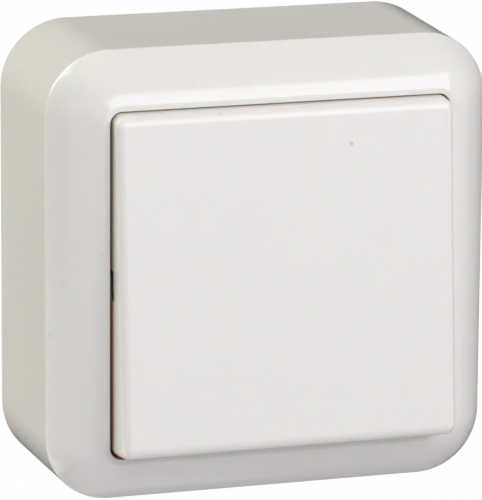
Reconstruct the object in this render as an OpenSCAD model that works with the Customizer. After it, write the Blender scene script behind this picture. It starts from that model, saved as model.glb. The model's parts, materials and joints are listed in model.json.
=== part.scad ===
// Surface mounted light switch with one large rocker, in millimetres.
//
// Every piece is drawn lying on its back: x to the right, y up and z out from the wall. stand()
// then turns it upright, so that the finished part has z up and the wall at y = 0, with the origin
// in the middle of its back. The rocker is shown with its top half pressed in.

/* [Cover] */
// Width and height of the cover at the wall
body_w = 84; // [82:0.5:96]
// Height of the walls, from the wall of the room to the bezel
wall_h = 28.8; // [27:0.2:34]
// How far each wall leans in over its height
wall_draft = 0.6; // [0.4:0.1:2]
// Rise of the bezel from the walls to the window
bezel_rise = 8.6; // [7:0.2:10]
// Bulge of the bezel above a flat slope
bezel_bulge = 0.8; // [0.2:0.1:1.4]
// Rounding of the edge between wall and bezel
edge_r = 1; // [0.4:0.1:2]
// Thickness of the walls and the bezel
cover_t = 2.2; // [1.6:0.1:3]
// Width and height of the window
window_w = 63.6; // [61:0.2:65]
// Corner radius of the window
window_r = 2.2; // [1.9:0.1:4]
// Width of the flat lip round the window
lip_w = 1.1; // [0.8:0.1:2]
// Rounding of the lip towards the window
lip_r = 0.5; // [0.2:0.1:0.7]
// Thickness of the wall that drops from the lip to the ledge
window_t = 1.6; // [1.2:0.1:2]
// Thickness of the ledge under the rocker
ledge_t = 2; // [1.6:0.1:3]
// Width of the opening in the ledge
ledge_open_w = 44; // [42:0.5:46]
// Height of the opening in the ledge
ledge_open_h = 30; // [24:0.5:32]

/* [Rocker] */
// Gap between the rocker and the window, on each side
rocker_gap = 0.8; // [0.75:0.05:1.2]
// Corner radius of the rocker
rocker_r = 1.8; // [1.4:0.1:3]
// Rounding of the edges of the face
rocker_edge = 1.4; // [0.6:0.1:1.6]
// Thickness of the face
rocker_t = 2.2; // [1.6:0.1:2.6]
// Height of the level face above the lip
rocker_proud = 5.4; // [4.6:0.1:6.4]
// Depth of the skirt, from the face
skirt_depth = 9.6; // [8.8:0.1:10]
// Thickness of the skirt
skirt_t = 1.4; // [1:0.1:1.4]
// Tilt of the rocker to each side
half_swing = 4.5; // [3:0.1:5]
// Depth of the turning axis behind the face
pivot_depth = 10.1; // [9.8:0.1:11]
// Width of the notch in each side of the skirt
notch_w = 5.2; // [4:0.1:8]
// Depth below the face at which the notch starts
notch_start = 5.7; // [5.2:0.1:6.6]
// Clearance between the pressed skirt and the ledge
skirt_gap = 0.9; // [0.6:0.1:1.5]

/* [Base] */
// Thickness of the floor
floor_t = 2.5; // [2:0.1:3.5]
// Height of the rim that stands inside the cover
base_rim_h = 9; // [6:0.5:12]
// Thickness of the rim
base_rim_t = 1.8; // [1.4:0.1:2.4]
// Clearance between the rim and the cover
base_gap = 0.3; // [0.2:0.05:0.6]
// Distance between the two wall screws
wall_pitch = 60; // [58:0.5:62]
// Width of the slots for the wall screws
slot_w = 4.2; // [3.6:0.1:5]
// Length of the slots, end to end
slot_l = 8; // [6:0.2:9]
// Width of the cable entries
entry_w = 24; // [16:0.5:30]
// Height of the cable entries
entry_h = 9; // [7:0.5:10]
// Radius of the screw pillars
pillar_r = 3.6; // [3:0.1:4]

/* [Mechanism] */
// Width of the mechanism
mech_w = 40; // [39.8:0.2:42]
// Height of the mechanism
mech_h = 46; // [45:0.5:50]
// Thickness of the mechanism's floor
mech_floor_t = 3.5; // [3:0.1:4.5]
// Height inside the mechanism, between its floor and its lid
chamber_h = 11; // [10.8:0.1:12]
// Thickness of the lid
lid_t = 2.5; // [2:0.1:3]
// Distance of the terminals from the middle, sideways
terminal_x = 9.2; // [9.2:0.1:10]
// Distance of the terminals from the mechanism's upper and lower edge
terminal_inset = 6; // [5.5:0.1:6.5]
// Radius of the pins that the rocker turns on
pin_r = 2; // [1.6:0.1:2.4]
// Radial clearance of the pins in the ears
pin_gap = 0.05; // [0.02:0.01:0.08]
// Thickness of the ears
ear_t = 2.2; // [1.8:0.1:2.4]
// Height of the turning axis above the lid
pivot_rise = 5.3; // [5:0.1:6]

/* [Contacts] */
// Thickness of the contact strips
strip_t = 1; // [0.8:0.1:1.2]
// Height of the see-saw's axis above the strips
ridge_h = 3; // [2.8:0.1:3.4]
// Radius of the ridge that the see-saw rocks on
ridge_r = 1; // [0.8:0.05:1.2]
// Radial clearance between the ridge and the see-saw
ridge_gap = 0.06; // [0.02:0.01:0.08]
// Thickness of the see-saw's sheet
seesaw_t = 0.94; // [0.8:0.02:1.1]
// Tilt of the see-saw to each side
seesaw_swing = 7; // [5:0.1:8]
// Distance of the contact tips from the axis
contact_arm = 9; // [8:0.1:9.5]
// Radius of the contact tips
tip_r = 1.3; // [1:0.1:1.5]
// Thickness of the moving tips
tip_t = 0.8; // [0.6:0.1:1]
// Clearance between closed tips
closed_gap = 0.05; // [0.03:0.01:0.1]

/* [Plunger] */
// Radius of the plunger in its sleeve
plunger_r = 2.45; // [2.2:0.05:2.6]
// Radial clearance of the plunger in its sleeve
plunger_gap = 0.05; // [0.02:0.01:0.08]
// Radius of the plunger's nose
nose_r = 1.5; // [1.2:0.1:1.8]
// Clearance between the nose and the see-saw's hump, half way through the swing
nose_gap = 0.05; // [0.03:0.01:0.1]
// Length of the spring
spring_l = 4.5; // [4:0.1:4.8]
// Thickness of the spring wire
spring_wire = 0.5; // [0.4:0.05:0.6]
// Turns of the spring
spring_turns = 5; // [4:1:6]

/* [Hidden] */
$fn = 48;
// Sides of a rounded corner of an outline
corner_steps = 8;
// Sides of the bezel's curve and of a small rounding
bezel_steps = 10;
round_steps = 4;

// Heights above the wall of the room
rim_h = wall_h + bezel_rise;
face_h = rim_h + rocker_proud;
pivot_h = face_h - pivot_depth;
rocker_half = window_w / 2 - rocker_gap;
ledge_top_h = face_h - skirt_depth - rocker_half * sin(half_swing) - skirt_gap;
ledge_h = ledge_top_h - ledge_t;
lid_top_h = pivot_h - pivot_rise;
lid_h = lid_top_h - lid_t;
strip_h = lid_h - chamber_h;
seat_h = strip_h - mech_floor_t;
strip_top_h = strip_h + strip_t;
seesaw_h = strip_top_h + ridge_h;

// Cover, as a profile carried round the window at a distance from the corners' axes
cover_reach = window_w / 2 - window_r;
wall_out = body_w / 2 - cover_reach;
front_out = wall_out - wall_draft;
lip_out = window_r + lip_w;
lip_bend_r = 1;
knockout_w = 18;
knockout_h = 12;
knockout_depth = 1.2;

// Base
base_half = body_w / 2 - cover_t - wall_draft * base_rim_h / wall_h - base_gap;
base_r = wall_out - cover_t - base_gap;
entry_margin = 1;
entry_r = 2;
entry_y = base_half - base_rim_t - entry_margin - entry_h / 2;
slot_pad_w = 3;
slot_pad_rise = 1;
seat_rail_w = 3;
rail_inset = 6;

// Screws: head radius, head height and shank radius
cover_head = [3, 1.8, 1.7];
mech_head = [3, 2.2, 1.7];
lid_head = [2.2, 1.6, 1.2];
terminal_head = [3, 2.4, 1.7];
screw_gap = 0.05;
screw_slot_w = 0.9;
screw_slot_depth = 0.8;
head_room = 0.3;
counterbore = 1;
hole_play = 0.2;
thread_end = 0.6;
cover_screw_x = window_w / 2 - cover_head[0] - 1.2;
cover_screw_y = 18;
cover_screw_l = 12;
mech_screw_out = 4.5;
mech_screw_inset = 10;
mech_screw_x = mech_w / 2 + mech_screw_out;
mech_screw_y = mech_h / 2 - mech_screw_inset;
lug_r = 4;
lug_t = 4;
lid_screw_x = 12;
lid_screw_inset = 17;
lid_screw_y = mech_h / 2 - lid_screw_inset;
lid_screw_l = 7;

// Terminal pockets, the channels between them and the chamber of the see-saw
terminal_y = mech_h / 2 - terminal_inset;
pocket_half = 4.6;
wire_r = 1.6;
wire_offset = 2.7;
pocket_wall = 1.4;
pocket_top = mech_h / 2 - pocket_wall;
pocket_low = terminal_y - pocket_half;
channel_half = 3.5;
chamber_half_w = 5;
chamber_half_h = 6;
side_channel_half = 3.2;
side_leg_in = 7;
side_leg_out = 12;
pad_play = 0.4;
strip_half = channel_half - 0.5;
plate_t = 1.2;
plate_half = 3.6;
access_r = terminal_head[0] + 0.5;
screw_recess_r = terminal_head[2] + 0.6;

// See-saw contact
hump_r = ridge_r + ridge_gap + seesaw_t;
arm_end = contact_arm + tip_r + 0.3;
rivet_r = 0.8;
rivet_gap = 0.05;
rivet_head_r = 1.2;
rivet_head_t = 0.3;
fin_half = 0.6;
tip_low = seesaw_h - tip_t * cos(seesaw_swing) - (contact_arm + tip_r) * sin(seesaw_swing);
fixed_tip_t = tip_low - closed_gap - strip_top_h;

// Carrier and plunger, as heights from the turning axis
plate_low = 0.8;
carrier_plate_t = 2.4;
carrier_side_room = 2.8;
carrier_end_room = 12;
carrier_half_w = mech_w / 2 - carrier_side_room;
carrier_half_h = mech_h / 2 - carrier_end_room;
cheek_t = 2.2;
cheek_r = 4;
ear_r = 4.4;
ear_play = 0.4;
ear_foot = 1.5;
pin_end_gap = 0.2;
sleeve_t = 1.5;
sleeve_in_r = plunger_r + plunger_gap;
sleeve_r = sleeve_in_r + sleeve_t;
nose_at = seesaw_h + hump_r + nose_r + nose_gap - pivot_h;
sleeve_low = nose_at + nose_r;
spring_top = -1.8;
spring_low = spring_top - spring_l;
guide_low = sleeve_low + 1;
spring_r = sleeve_in_r - spring_wire / 2 - 0.35;
stop_x = 14;
stop_w = 4;
stop_t = 2.4;
stop_gap = 0.1;
stop_top_h = pivot_h + plate_low * cos(half_swing) - carrier_half_h * sin(half_swing) - stop_gap;
lid_slot_play = 0.6;

// Rocker
rocker_reach = rocker_half - rocker_r;
rocker_draft = 0.2;
hook_gap = 0.15;
hook_t = 1.4;
hook_w = 3;
hook_inset = 3.5;
hook_y = carrier_half_h - hook_inset;
hook_catch = 0.7;
hook_lip_t = 1;
rail_x = 10;
rail_t = 1.2;
rail_end_room = 1;
rail_half = carrier_half_h - rail_end_room;

function unit(v) = v / norm(v);

// Points of the arc of radius r that rounds the corner c between a and b
function rounding(a, c, b, r, steps = round_steps) =
    let (u = unit(a - c), v = unit(b - c), half = acos(u * v) / 2, turn = 180 - 2 * half)
    let (middle = c + unit(u + v) * r / sin(half), first = c + u * r / tan(half) - middle)
    let (side = u[0] * v[1] - u[1] * v[0] > 0 ? -1 : 1)
    [for (i = [0:steps]) let (w = side * turn * i / steps)
        middle + [first[0] * cos(w) - first[1] * sin(w), first[0] * sin(w) + first[1] * cos(w)]];

// Points of the arc from a to b that bulges to the right of that way
function bow(a, b, bulge, steps) =
    let (chord = norm(b - a), r = (chord * chord / 4 + bulge * bulge) / (2 * bulge))
    let (way = unit(b - a), out = [way[1], -way[0]], middle = (a + b) / 2 - out * (r - bulge))
    let (half = asin(chord / (2 * r)))
    [for (i = [0:steps]) let (w = half * (2 * i / steps - 1)) middle + r * (out * cos(w) + way * sin(w))];

module stand() { rotate([90, 0, 0]) children(); }

// A flat outline between two heights above the wall of the room
module slab(low, high) { translate([0, 0, low]) linear_extrude(high - low) children(); }

module soft_rect(half_w, half_h, r) {
    polygon([for (q = [0:3], i = [0:corner_steps])
        let (w = 90 * (q + i / corner_steps), x = q == 0 || q == 3 ? 1 : -1, y = q < 2 ? 1 : -1)
            [x * (half_w - r) + r * cos(w), y * (half_h - r) + r * sin(w)]]);
}

module slot(length, width) {
    for (x = [-1, 1]) translate([x * (length - width) / 2, 0]) circle(width / 2);
    square([length - width, width], center = true);
}

// Carries a profile round a square whose corners turn about axes at a distance of reach
module carry_round(reach) {
    for (q = [0:3]) rotate([0, 0, 90 * q]) translate([reach, reach, 0]) {
        rotate_extrude(angle = 90) children();
        rotate([90, 0, 0]) linear_extrude(2 * reach) children();
    }
}

// Puts children at a point and, half a turn further, on the other side of the middle
module opposite(x, y) {
    for (w = [0, 180]) rotate([0, 0, w]) translate([x, y, 0]) children();
}

module at_terminals() {
    for (x = [-1, 1], y = [-1, 1]) translate([x * terminal_x, y * terminal_y, 0]) children();
}

// A slotted screw whose head sits on the height seat
module screw(head, length, seat) {
    difference() {
        union() {
            translate([0, 0, seat]) cylinder(r = head[0], h = head[1]);
            translate([0, 0, seat - length]) cylinder(r = head[2], h = length);
        }
        translate([-head[0] - 1, -screw_slot_w / 2, seat + head[1] - screw_slot_depth])
            cube([2 * head[0] + 2, screw_slot_w, screw_slot_depth + 1]);
    }
}

// Turns what is drawn about its own level axis into the resting tilt
module rocked() { translate([0, 0, pivot_h]) rotate([-half_swing, 0, 0]) children(); }
module seesawed() { translate([0, 0, seesaw_h]) rotate([seesaw_swing, 0, 0]) children(); }

// Outer line of the cover from the wall over the bezel and the lip to the ledge, then back inside
module cover_profile() {
    foot = [wall_out, 0];
    edge = [front_out, wall_h];
    lip = [lip_out, rim_h];
    curve = bow(edge, lip, bezel_bulge, bezel_steps);
    before = curve[bezel_steps - 1];
    slope = unit(lip - edge);
    inward = [-slope[1], slope[0]] * -cover_t;
    under = edge - [abs(inward[0]), abs(inward[1])];
    skirt = window_r + window_t;
    in_bend_r = front_out - cover_t;
    polygon(concat(
        [foot],
        rounding(foot, edge, curve[1], edge_r),
        [for (i = [1:bezel_steps - 1]) curve[i]],
        rounding(before, lip, [window_r, rim_h], lip_bend_r / 2),
        rounding(lip, [window_r, rim_h], [window_r, ledge_h], lip_r),
        [[window_r, ledge_h], [skirt, ledge_h]],
        [[skirt, under[1] + (under[0] - skirt) * slope[1] / -slope[0]]],
        [[in_bend_r, under[1] + (under[0] - in_bend_r) * slope[1] / -slope[0]]],
        [[wall_out - cover_t, 0]]
    ));
}

module cover() {
    color("#e9e6df") difference() {
        union() {
            carry_round(cover_reach) cover_profile();
            slab(ledge_h, ledge_top_h) difference() {
                soft_rect(window_w / 2 + window_t / 2, window_w / 2 + window_t / 2, window_r + window_t / 2);
                soft_rect(ledge_open_w / 2, ledge_open_h / 2, entry_r);
            }
        }
        opposite(-cover_screw_x, cover_screw_y) {
            translate([0, 0, ledge_h - 1]) cylinder(r = cover_head[2] + hole_play, h = ledge_t + 2);
            translate([0, 0, ledge_top_h - counterbore]) cylinder(r = cover_head[0] + head_room, h = counterbore + 1);
        }
        // Thin places to break out for a cable, cut from inside
        for (q = [0:3]) rotate([0, 0, 90 * q])
            translate([-knockout_w / 2, body_w / 2 - cover_t - 1, -1])
                cube([knockout_w, knockout_depth + 1 - wall_draft / 2, knockout_h + 1]);
    }
}

module cover_screws() {
    color("#c9c9c6") opposite(-cover_screw_x, cover_screw_y)
        screw(cover_head, cover_screw_l, ledge_top_h - counterbore);
}

module base() {
    color("#dcdad4") difference() {
        union() {
            slab(0, floor_t) soft_rect(base_half, base_half, base_r);
            slab(0, base_rim_h) difference() {
                soft_rect(base_half, base_half, base_r);
                soft_rect(base_half - base_rim_t, base_half - base_rim_t, base_r - base_rim_t);
            }
            opposite(-cover_screw_x, cover_screw_y) {
                cylinder(r = pillar_r, h = ledge_h);
                // Web from the pillar to the rim
                translate([-(base_half - cover_screw_x - base_rim_t / 2), -base_rim_t / 2, 0])
                    cube([base_half - cover_screw_x - base_rim_t / 2, base_rim_t, base_rim_h]);
            }
            opposite(mech_screw_x, mech_screw_y) cylinder(r = pillar_r, h = seat_h);
            for (y = [-1, 1]) translate([0, y * (mech_h / 2 - rail_inset), seat_h / 2])
                cube([mech_w - 2 * rail_inset, seat_rail_w, seat_h], center = true);
            for (x = [-1, 1]) translate([x * wall_pitch / 2, 0, 0])
                slab(0, floor_t + slot_pad_rise)
                    soft_rect(slot_l / 2 + slot_pad_w / 2, slot_w / 2 + slot_pad_w, entry_r);
        }
        for (x = [-1, 1]) translate([x * wall_pitch / 2, 0, 0]) slab(-1, floor_t + slot_pad_rise + 1)
            slot(slot_l, slot_w);
        for (y = [-1, 1]) translate([0, y * entry_y, 0]) slab(-1, floor_t + 1)
            soft_rect(entry_w / 2, entry_h / 2, entry_r);
        // Gaps in the rim for cables that run on the wall
        for (q = [0:3]) rotate([0, 0, 90 * q]) translate([-knockout_w / 2, base_half - base_rim_t - 1, floor_t])
            cube([knockout_w, base_rim_t + 2, base_rim_h]);
        opposite(-cover_screw_x, cover_screw_y)
            translate([0, 0, ledge_top_h - counterbore - cover_screw_l - thread_end])
                cylinder(r = cover_head[2] + screw_gap, h = cover_screw_l + thread_end);
        opposite(mech_screw_x, mech_screw_y) translate([0, 0, thread_end])
            cylinder(r = mech_head[2] + screw_gap, h = seat_h);
    }
}

// Outline of the pockets and channels in the mechanism's body
module pockets_outline() {
    translate([-channel_half, -pocket_top]) square([2 * channel_half, 2 * pocket_top]);
    translate([-chamber_half_w, -chamber_half_h]) square([2 * chamber_half_w, 2 * chamber_half_h]);
    for (y = [-1, 1]) translate([-terminal_x - pocket_half, y > 0 ? pocket_low : -pocket_top])
        square([terminal_x + pocket_half, pocket_top - pocket_low]);
    for (y = [-1, 1]) translate([terminal_x - pocket_half, y > 0 ? pocket_low : -pocket_top])
        square([2 * pocket_half, pocket_top - pocket_low]);
    translate([0, -side_channel_half]) square([side_leg_out + pad_play, 2 * side_channel_half]);
    translate([side_leg_in - pad_play, 0])
        square([side_leg_out - side_leg_in + 2 * pad_play, terminal_y]);
}

module mechanism_body() {
    color("#3b3d40") difference() {
        union() {
            slab(seat_h, lid_h) soft_rect(mech_w / 2, mech_h / 2, entry_r);
            opposite(mech_screw_x, mech_screw_y) {
                translate([0, 0, seat_h]) cylinder(r = lug_r, h = lug_t);
                translate([mech_w / 2 - mech_screw_x - 1, -lug_r, seat_h])
                    cube([mech_screw_x - mech_w / 2 + 1, 2 * lug_r, lug_t]);
            }
        }
        slab(strip_h, lid_h + 1) pockets_outline();
        at_terminals() translate([0, 0, seat_h - 1]) cylinder(r = screw_recess_r, h = mech_floor_t + 2);
        // Two wire holes for each terminal
        for (x = [-1, 1], y = [-1, 1], s = [-1, 1])
            translate([x * terminal_x + s * wire_offset, y * (pocket_top - 1), strip_top_h + wire_r])
                rotate([-90 * y, 0, 0]) cylinder(r = wire_r, h = pocket_wall + 2);
        opposite(lid_screw_x, -lid_screw_y) translate([0, 0, lid_h - lid_screw_l + lid_t - thread_end])
            cylinder(r = lid_head[2] + screw_gap, h = lid_screw_l);
        opposite(mech_screw_x, mech_screw_y) translate([0, 0, seat_h - 1])
            cylinder(r = mech_head[2] + hole_play, h = lug_t + 2);
    }
}

module mechanism_screws() {
    color("#c9c9c6") opposite(mech_screw_x, mech_screw_y)
        screw(mech_head, seat_h + lug_t - 2 * thread_end, seat_h + lug_t);
}

// Ear that holds one pin of the carrier, seen along the axis
module ear_outline() {
    translate([0, pivot_h]) circle(ear_r);
    polygon([
        [-ear_r - ear_foot, lid_top_h - lid_t / 2], [ear_r + ear_foot, lid_top_h - lid_t / 2],
        [ear_r + ear_foot, lid_top_h], [ear_r * cos(15), pivot_h - ear_r * sin(15)],
        [-ear_r * cos(15), pivot_h - ear_r * sin(15)], [-ear_r - ear_foot, lid_top_h]
    ]);
}

module mechanism_lid() {
    sleeve_sway = (pivot_h - lid_h) * sin(half_swing);
    ear_in = carrier_half_w + ear_play;
    color("#d9d7d0") difference() {
        union() {
            slab(lid_h, lid_top_h) soft_rect(mech_w / 2, mech_h / 2, entry_r);
            for (x = [0, 1]) mirror([x, 0, 0]) translate([ear_in, 0, 0])
                rotate([90, 0, 90]) linear_extrude(ear_t) ear_outline();
            for (x = [-1, 1], y = [-1, 1])
                translate([x * stop_x - stop_w / 2, y * (carrier_half_h - stop_t / 2) - stop_t / 2, lid_h])
                    cube([stop_w, stop_t, stop_top_h - lid_h]);
        }
        slab(lid_h - 1, lid_top_h + 1)
            soft_rect(sleeve_r + lid_slot_play, sleeve_r + sleeve_sway + lid_slot_play, entry_r);
        at_terminals() translate([0, 0, lid_h - 1]) cylinder(r = access_r, h = lid_t + 2);
        opposite(lid_screw_x, -lid_screw_y) translate([0, 0, lid_h - 1])
            cylinder(r = lid_head[2] + hole_play, h = lid_t + 2);
        translate([-mech_w, 0, pivot_h]) rotate([0, 90, 0]) cylinder(r = pin_r + pin_gap, h = 2 * mech_w);
    }
}

module lid_screws() {
    color("#c9c9c6") opposite(lid_screw_x, -lid_screw_y) screw(lid_head, lid_screw_l, lid_top_h);
}

// Rivet through a strip or the see-saw, with its face towards low
module rivet(face_r, face_t, through_t) {
    translate([0, 0, -face_t]) cylinder(r = face_r, h = face_t);
    cylinder(r = rivet_r, h = through_t);
    translate([0, 0, through_t]) cylinder(r = rivet_head_r, h = rivet_head_t);
}

// Strip from a fixed contact to its terminal. The other one is its mirror image.
module contact_strip() {
    in_y = contact_arm - tip_r - 1;
    pad_out = terminal_x + pocket_half - pad_play;
    pad_low = pocket_low + pad_play;
    pad_top = pocket_top - pad_play;
    difference() {
        slab(strip_h, strip_top_h) polygon([
            [-strip_half, in_y], [strip_half, in_y], [strip_half, pad_top],
            [-pad_out, pad_top], [-pad_out, pad_low], [-strip_half, pad_low]
        ]);
        translate([0, contact_arm, strip_h - 1]) cylinder(r = rivet_r + rivet_gap, h = strip_t + 2);
        translate([-terminal_x, terminal_y, strip_h - 1])
            cylinder(r = terminal_head[2] + screw_gap, h = strip_t + 2);
    }
}

module upper_contact_strip() { color("#c9a24b") contact_strip(); }

module lower_contact_strip() { color("#c9a24b") mirror([0, 1, 0]) contact_strip(); }

module fixed_contact_tips() {
    color("#d8d8d8") for (y = [-1, 1]) translate([0, y * contact_arm, 0]) {
        translate([0, 0, strip_top_h]) cylinder(r = tip_r + 0.2, h = fixed_tip_t);
        translate([0, 0, strip_h]) cylinder(r = rivet_r, h = strip_t);
    }
}

// Strip under the see-saw, with a folded fin and a round ridge, and a leg to its terminal
module common_strip() {
    foot_half = side_channel_half - pad_play;
    pad_top = pocket_top - pad_play;
    pad_low = pocket_low + pad_play;
    color("#c9a24b") difference() {
        union() {
            slab(strip_h, strip_top_h) polygon([
                [-strip_half, -foot_half], [side_leg_out, -foot_half], [side_leg_out, pad_low],
                [terminal_x + pocket_half - pad_play, pad_low], [terminal_x + pocket_half - pad_play, pad_top],
                [terminal_x - pocket_half + pad_play, pad_top], [terminal_x - pocket_half + pad_play, pad_low],
                [side_leg_in, pad_low], [side_leg_in, foot_half], [-strip_half, foot_half]
            ]);
            translate([-strip_half, -fin_half, strip_h]) cube([2 * strip_half, 2 * fin_half, seesaw_h - strip_h]);
            translate([-strip_half, 0, seesaw_h]) rotate([0, 90, 0]) cylinder(r = ridge_r, h = 2 * strip_half);
        }
        translate([terminal_x, terminal_y, strip_h - 1])
            cylinder(r = terminal_head[2] + screw_gap, h = strip_t + 2);
    }
}

module loop_strip() {
    half = pocket_half - pad_play;
    low = terminal_y - pocket_low - pad_play;
    high = pocket_top - pad_play - terminal_y;
    color("#c9a24b") translate([terminal_x, -terminal_y, 0]) difference() {
        slab(strip_h, strip_top_h) polygon([[-half, -high], [half, -high], [half, low], [-half, low]]);
        translate([0, 0, strip_h - 1]) cylinder(r = terminal_head[2] + screw_gap, h = strip_t + 2);
    }
}

module terminal_plates() {
    color("#bfc1c2") at_terminals() difference() {
        slab(strip_top_h, strip_top_h + plate_t) square(2 * plate_half, center = true);
        translate([0, 0, strip_h]) cylinder(r = terminal_head[2] + hole_play, h = plate_t + 2 * strip_t + 1);
    }
}

module terminal_screws() {
    color("#c9c9c6") at_terminals()
        screw(terminal_head, plate_t + strip_t + mech_floor_t - thread_end, strip_top_h + plate_t);
}

module moving_contact() {
    color("#c07f4a") seesawed() difference() {
        union() {
            translate([-strip_half, 0, 0]) rotate([0, 90, 0]) cylinder(r = hump_r, h = 2 * strip_half);
            translate([-strip_half, -arm_end, 0]) cube([2 * strip_half, 2 * arm_end, seesaw_t]);
        }
        translate([-strip_half - 1, 0, 0]) rotate([0, 90, 0])
            cylinder(r = ridge_r + ridge_gap, h = 2 * strip_half + 2);
        translate([-strip_half - 1, -hump_r - 1, -hump_r - 1])
            cube([2 * strip_half + 2, 2 * hump_r + 2, hump_r + 1]);
        for (y = [-1, 1]) translate([0, y * contact_arm, -1])
            cylinder(r = rivet_r + rivet_gap, h = seesaw_t + 2);
    }
}

module moving_contact_tips() {
    color("#d8d8d8") seesawed() for (y = [-1, 1]) translate([0, y * contact_arm, 0])
        rivet(tip_r, tip_t, seesaw_t);
}

module rocker_carrier() {
    color("#e4e2dc") rocked() difference() {
        union() {
            translate([-carrier_half_w, -carrier_half_h, plate_low])
                cube([2 * carrier_half_w, 2 * carrier_half_h, carrier_plate_t]);
            for (x = [0, 1]) mirror([x, 0, 0]) {
                translate([carrier_half_w - cheek_t, 0, 0]) rotate([0, 90, 0]) cylinder(r = cheek_r, h = cheek_t);
                translate([carrier_half_w - cheek_t, -cheek_r, 0])
                    cube([cheek_t, 2 * cheek_r, plate_low + carrier_plate_t]);
                translate([carrier_half_w - cheek_t, 0, 0]) rotate([0, 90, 0])
                    cylinder(r = pin_r, h = cheek_t + ear_play + ear_t - pin_end_gap);
                // Web from the sleeve to the cheek
                translate([sleeve_r - 0.5, -rail_t / 2, -cheek_r + 1])
                    cube([carrier_half_w - cheek_t - sleeve_r + 1, rail_t, cheek_r - 1 + plate_low + 0.5]);
            }
            translate([0, 0, sleeve_low]) cylinder(r = sleeve_r, h = plate_low + 0.5 - sleeve_low);
        }
        translate([0, 0, sleeve_low - 1]) cylinder(r = sleeve_in_r, h = spring_top - sleeve_low + 1);
    }
}

module plunger() {
    color("#b9955a") rocked() {
        translate([0, 0, nose_at]) sphere(nose_r);
        translate([0, 0, nose_at]) cylinder(r = nose_r, h = guide_low - nose_at + 0.5);
        translate([0, 0, guide_low]) cylinder(r = plunger_r, h = spring_low - guide_low);
    }
}

// Wire of the spring: rings of points along a helix, closed at both ends
module spring_coil(length, r, wire, turns) {
    around = 16;
    sides = 6;
    rings = around * turns;
    rise = length - wire;
    points = [for (i = [0:rings], k = [0:sides - 1])
        let (w = 360 * i / around, s = 360 * k / sides, out = r + wire / 2 * cos(s))
            [out * cos(w), out * sin(w), wire / 2 + rise * i / rings + wire / 2 * sin(s)]];
    sheath = [for (i = [0:rings - 1], k = [0:sides - 1]) let (n = (k + 1) % sides)
        [i * sides + k, (i + 1) * sides + k, (i + 1) * sides + n, i * sides + n]];
    low_cap = [for (k = [0:sides - 1]) k];
    high_cap = [for (k = [sides - 1:-1:0]) rings * sides + k];
    polyhedron(points, concat(sheath, [low_cap], [high_cap]), convexity = turns + 2);
}

module plunger_spring() {
    color("#b8bbbd") rocked() translate([0, 0, spring_low])
        spring_coil(spring_l, spring_r, spring_wire, spring_turns);
}

// Section of the rocker's edge, from the middle of its rounding outwards and down the skirt
module rocker_profile() {
    corner = [rocker_r, pivot_depth];
    skirt_end = [rocker_r - rocker_draft, pivot_depth - skirt_depth];
    inner = rocker_r - skirt_t;
    polygon(concat(
        [[0, pivot_depth]],
        rounding([0, pivot_depth], corner, skirt_end, rocker_edge, corner_steps),
        [skirt_end, [inner - rocker_draft, skirt_end[1]], [inner, pivot_depth - rocker_t]],
        [[0, pivot_depth - rocker_t]]
    ));
}

module rocker() {
    under = pivot_depth - rocker_t;
    plate_top = plate_low + carrier_plate_t;
    color("#efede7") rocked() difference() {
        union() {
            carry_round(rocker_reach) rocker_profile();
            translate([-rocker_reach, -rocker_reach, under]) cube([2 * rocker_reach, 2 * rocker_reach, rocker_t]);
            // Rails that stand on the carrier
            for (x = [-1, 1]) translate([x * rail_x - rail_t / 2, -rail_half, plate_top])
                cube([rail_t, 2 * rail_half, under - plate_top + 0.5]);
            // Hooks that clip under the carrier's plate
            for (x = [0, 1], y = [0, 1]) mirror([x, 0, 0]) mirror([0, y, 0]) {
                translate([carrier_half_w + hook_gap, hook_y - hook_w / 2, plate_low - hook_gap - hook_lip_t])
                    cube([hook_t, hook_w, under + 0.5 - plate_low + hook_gap + hook_lip_t]);
                translate([carrier_half_w - hook_catch, hook_y - hook_w / 2, plate_low - hook_gap - hook_lip_t])
                    cube([hook_catch + hook_gap + 0.5, hook_w, hook_lip_t]);
            }
        }
        translate([-rocker_half - 1, -notch_w / 2, pivot_depth - skirt_depth - 1])
            cube([2 * rocker_half + 2, notch_w, skirt_depth + 1 - notch_start]);
    }
}

stand() cover();
stand() cover_screws();
stand() base();
stand() mechanism_body();
stand() mechanism_lid();
stand() mechanism_screws();
stand() lid_screws();
stand() upper_contact_strip();
stand() lower_contact_strip();
stand() fixed_contact_tips();
stand() common_strip();
stand() loop_strip();
stand() terminal_plates();
stand() terminal_screws();
stand() moving_contact();
stand() moving_contact_tips();
stand() rocker_carrier();
stand() plunger();
stand() plunger_spring();
stand() rocker();
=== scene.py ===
"""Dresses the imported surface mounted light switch: its mouldings, metal parts and a plain studio.

Sizes are in metres in the part's own frame: x to the right, z up, and y into the wall. Inside the
shape functions a piece lies on its back, with its height above the wall as the third number.
"""
import json
import math

import bmesh
import bpy
import numpy as np
from bpy.props import FloatProperty, FloatVectorProperty, IntProperty, PointerProperty
from bpy.types import Operator, Panel, PropertyGroup
from mathutils import Matrix, Vector

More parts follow.
